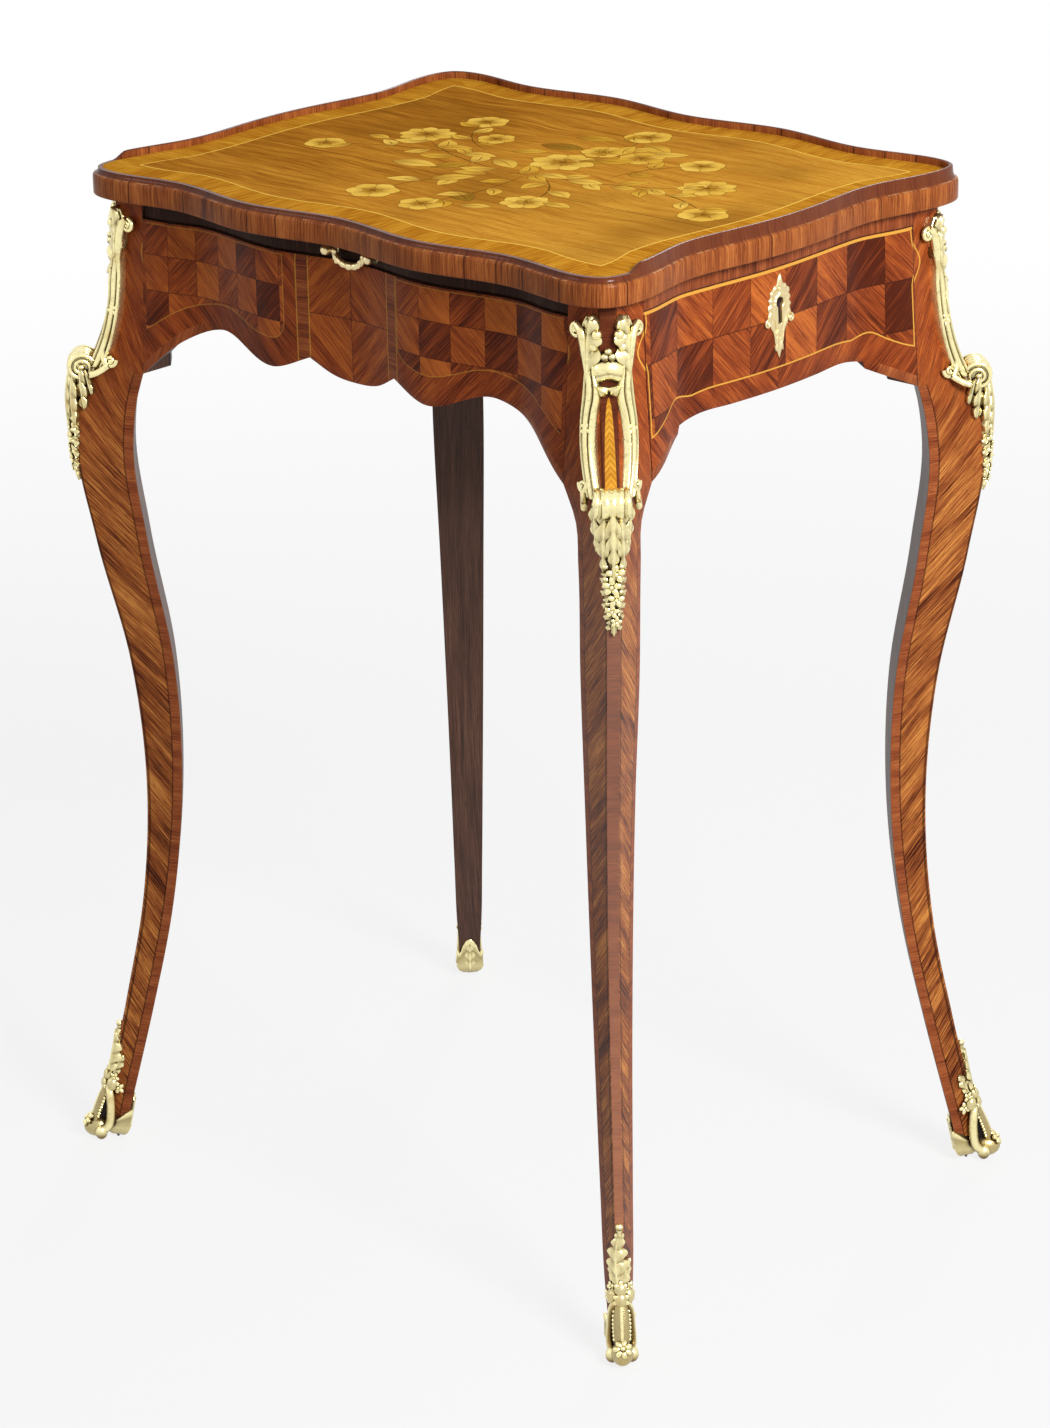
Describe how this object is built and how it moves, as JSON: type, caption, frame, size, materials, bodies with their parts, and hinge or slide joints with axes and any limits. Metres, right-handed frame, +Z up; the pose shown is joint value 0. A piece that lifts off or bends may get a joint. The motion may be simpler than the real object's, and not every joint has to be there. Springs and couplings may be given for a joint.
{
  "type": "writing table",
  "caption": "Small serpentine writing table on cabriole legs with gilt mounts, a galleried marquetry top, a front writing slide with a bail pull and a locking side drawer.",
  "frame": {"origin": "on the floor, under the middle of the table", "axes": "+Z up; the writing slide comes out towards -Y, the front; the drawer opens towards +X"},
  "size_m": [0.5008, 0.3938, 0.685],
  "materials": {
    "leg_veneer": "polished dark veneer with diagonal grain",
    "apron_parquetry": "polished parquetry squares with pale stringing",
    "top_marquetry": "polished golden veneer with floral marquetry",
    "top_banding": "polished pale banding",
    "edge_wood": "polished cross-grained edge",
    "carcase_oak": "plain oak, unpolished",
    "drawer_oak": "plain oak drawer linings",
    "leather": "brown writing leather",
    "ormolu": "gilt bronze, part matt and part burnished",
    "lock_brass": "plain brass",
    "lock_steel": "plain steel"
  },
  "bodies": {
    "frame": {"leg_fr": "leg_veneer", "leg_fl": "leg_veneer", "leg_br": "leg_veneer", "leg_bl": "leg_veneer", "chute_fr": "ormolu", "chute_fl": "ormolu", "chute_br": "ormolu", "chute_bl": "ormolu", "sabot_fr": "ormolu", "sabot_fl": "ormolu", "sabot_br": "ormolu", "sabot_bl": "ormolu", "apron_front": "apron_parquetry", "apron_back": "apron_parquetry", "apron_left": "apron_parquetry", "rail_right": "apron_parquetry", "top_core": "carcase_oak", "top_field": "top_marquetry", "top_banding": "top_banding", "edge_front": "edge_wood", "edge_back": "edge_wood", "edge_left": "edge_wood", "edge_right": "edge_wood", "corner_fl": "edge_wood", "corner_fr": "edge_wood", "corner_bl": "edge_wood", "corner_br": "edge_wood", "ledger_left": "carcase_oak", "ledger_right": "carcase_oak", "guide_front": "carcase_oak", "guide_back": "carcase_oak", "runner_front": "carcase_oak", "runner_back": "carcase_oak", "drawer_stop_front": "carcase_oak", "drawer_stop_back": "carcase_oak"},
    "writing_slide": {"slide_panel": "carcase_oak", "slide_clamp": "carcase_oak", "slide_stop_left": "carcase_oak", "slide_stop_right": "carcase_oak", "slide_front": "edge_wood", "slide_leather": "leather", "pull_post_left": "ormolu", "pull_post_right": "ormolu"},
    "bail": {"pull_bail": "ormolu"},
    "drawer": {"drawer_front": "apron_parquetry", "drawer_side_front": "drawer_oak", "drawer_side_back": "drawer_oak", "drawer_back": "drawer_oak", "drawer_bottom": "drawer_oak", "lock_case": "lock_brass", "lock_pin": "lock_steel", "escutcheon": "ormolu"},
    "lock_bolt": {"lock_bolt": "lock_steel"}
  },
  "joints": [
    {"name": "slide_pull", "type": "slide", "parent": "frame", "child": "writing_slide", "axis": [0, -1, 0], "range_m": [0, 0.22]},
    {"name": "bail_swing", "type": "hinge", "parent": "writing_slide", "child": "bail", "pos_m": [0, -0.1542, 0.6571], "axis": [-1, 0, 0], "range_deg": [0, 80]},
    {"name": "drawer_pull", "type": "slide", "parent": "frame", "child": "drawer", "axis": [1, 0, 0], "range_m": [0, 0.28]},
    {"name": "bolt_throw", "type": "slide", "parent": "drawer", "child": "lock_bolt", "axis": [0, 0, 1], "range_m": [0, 0.006]}
  ]
}
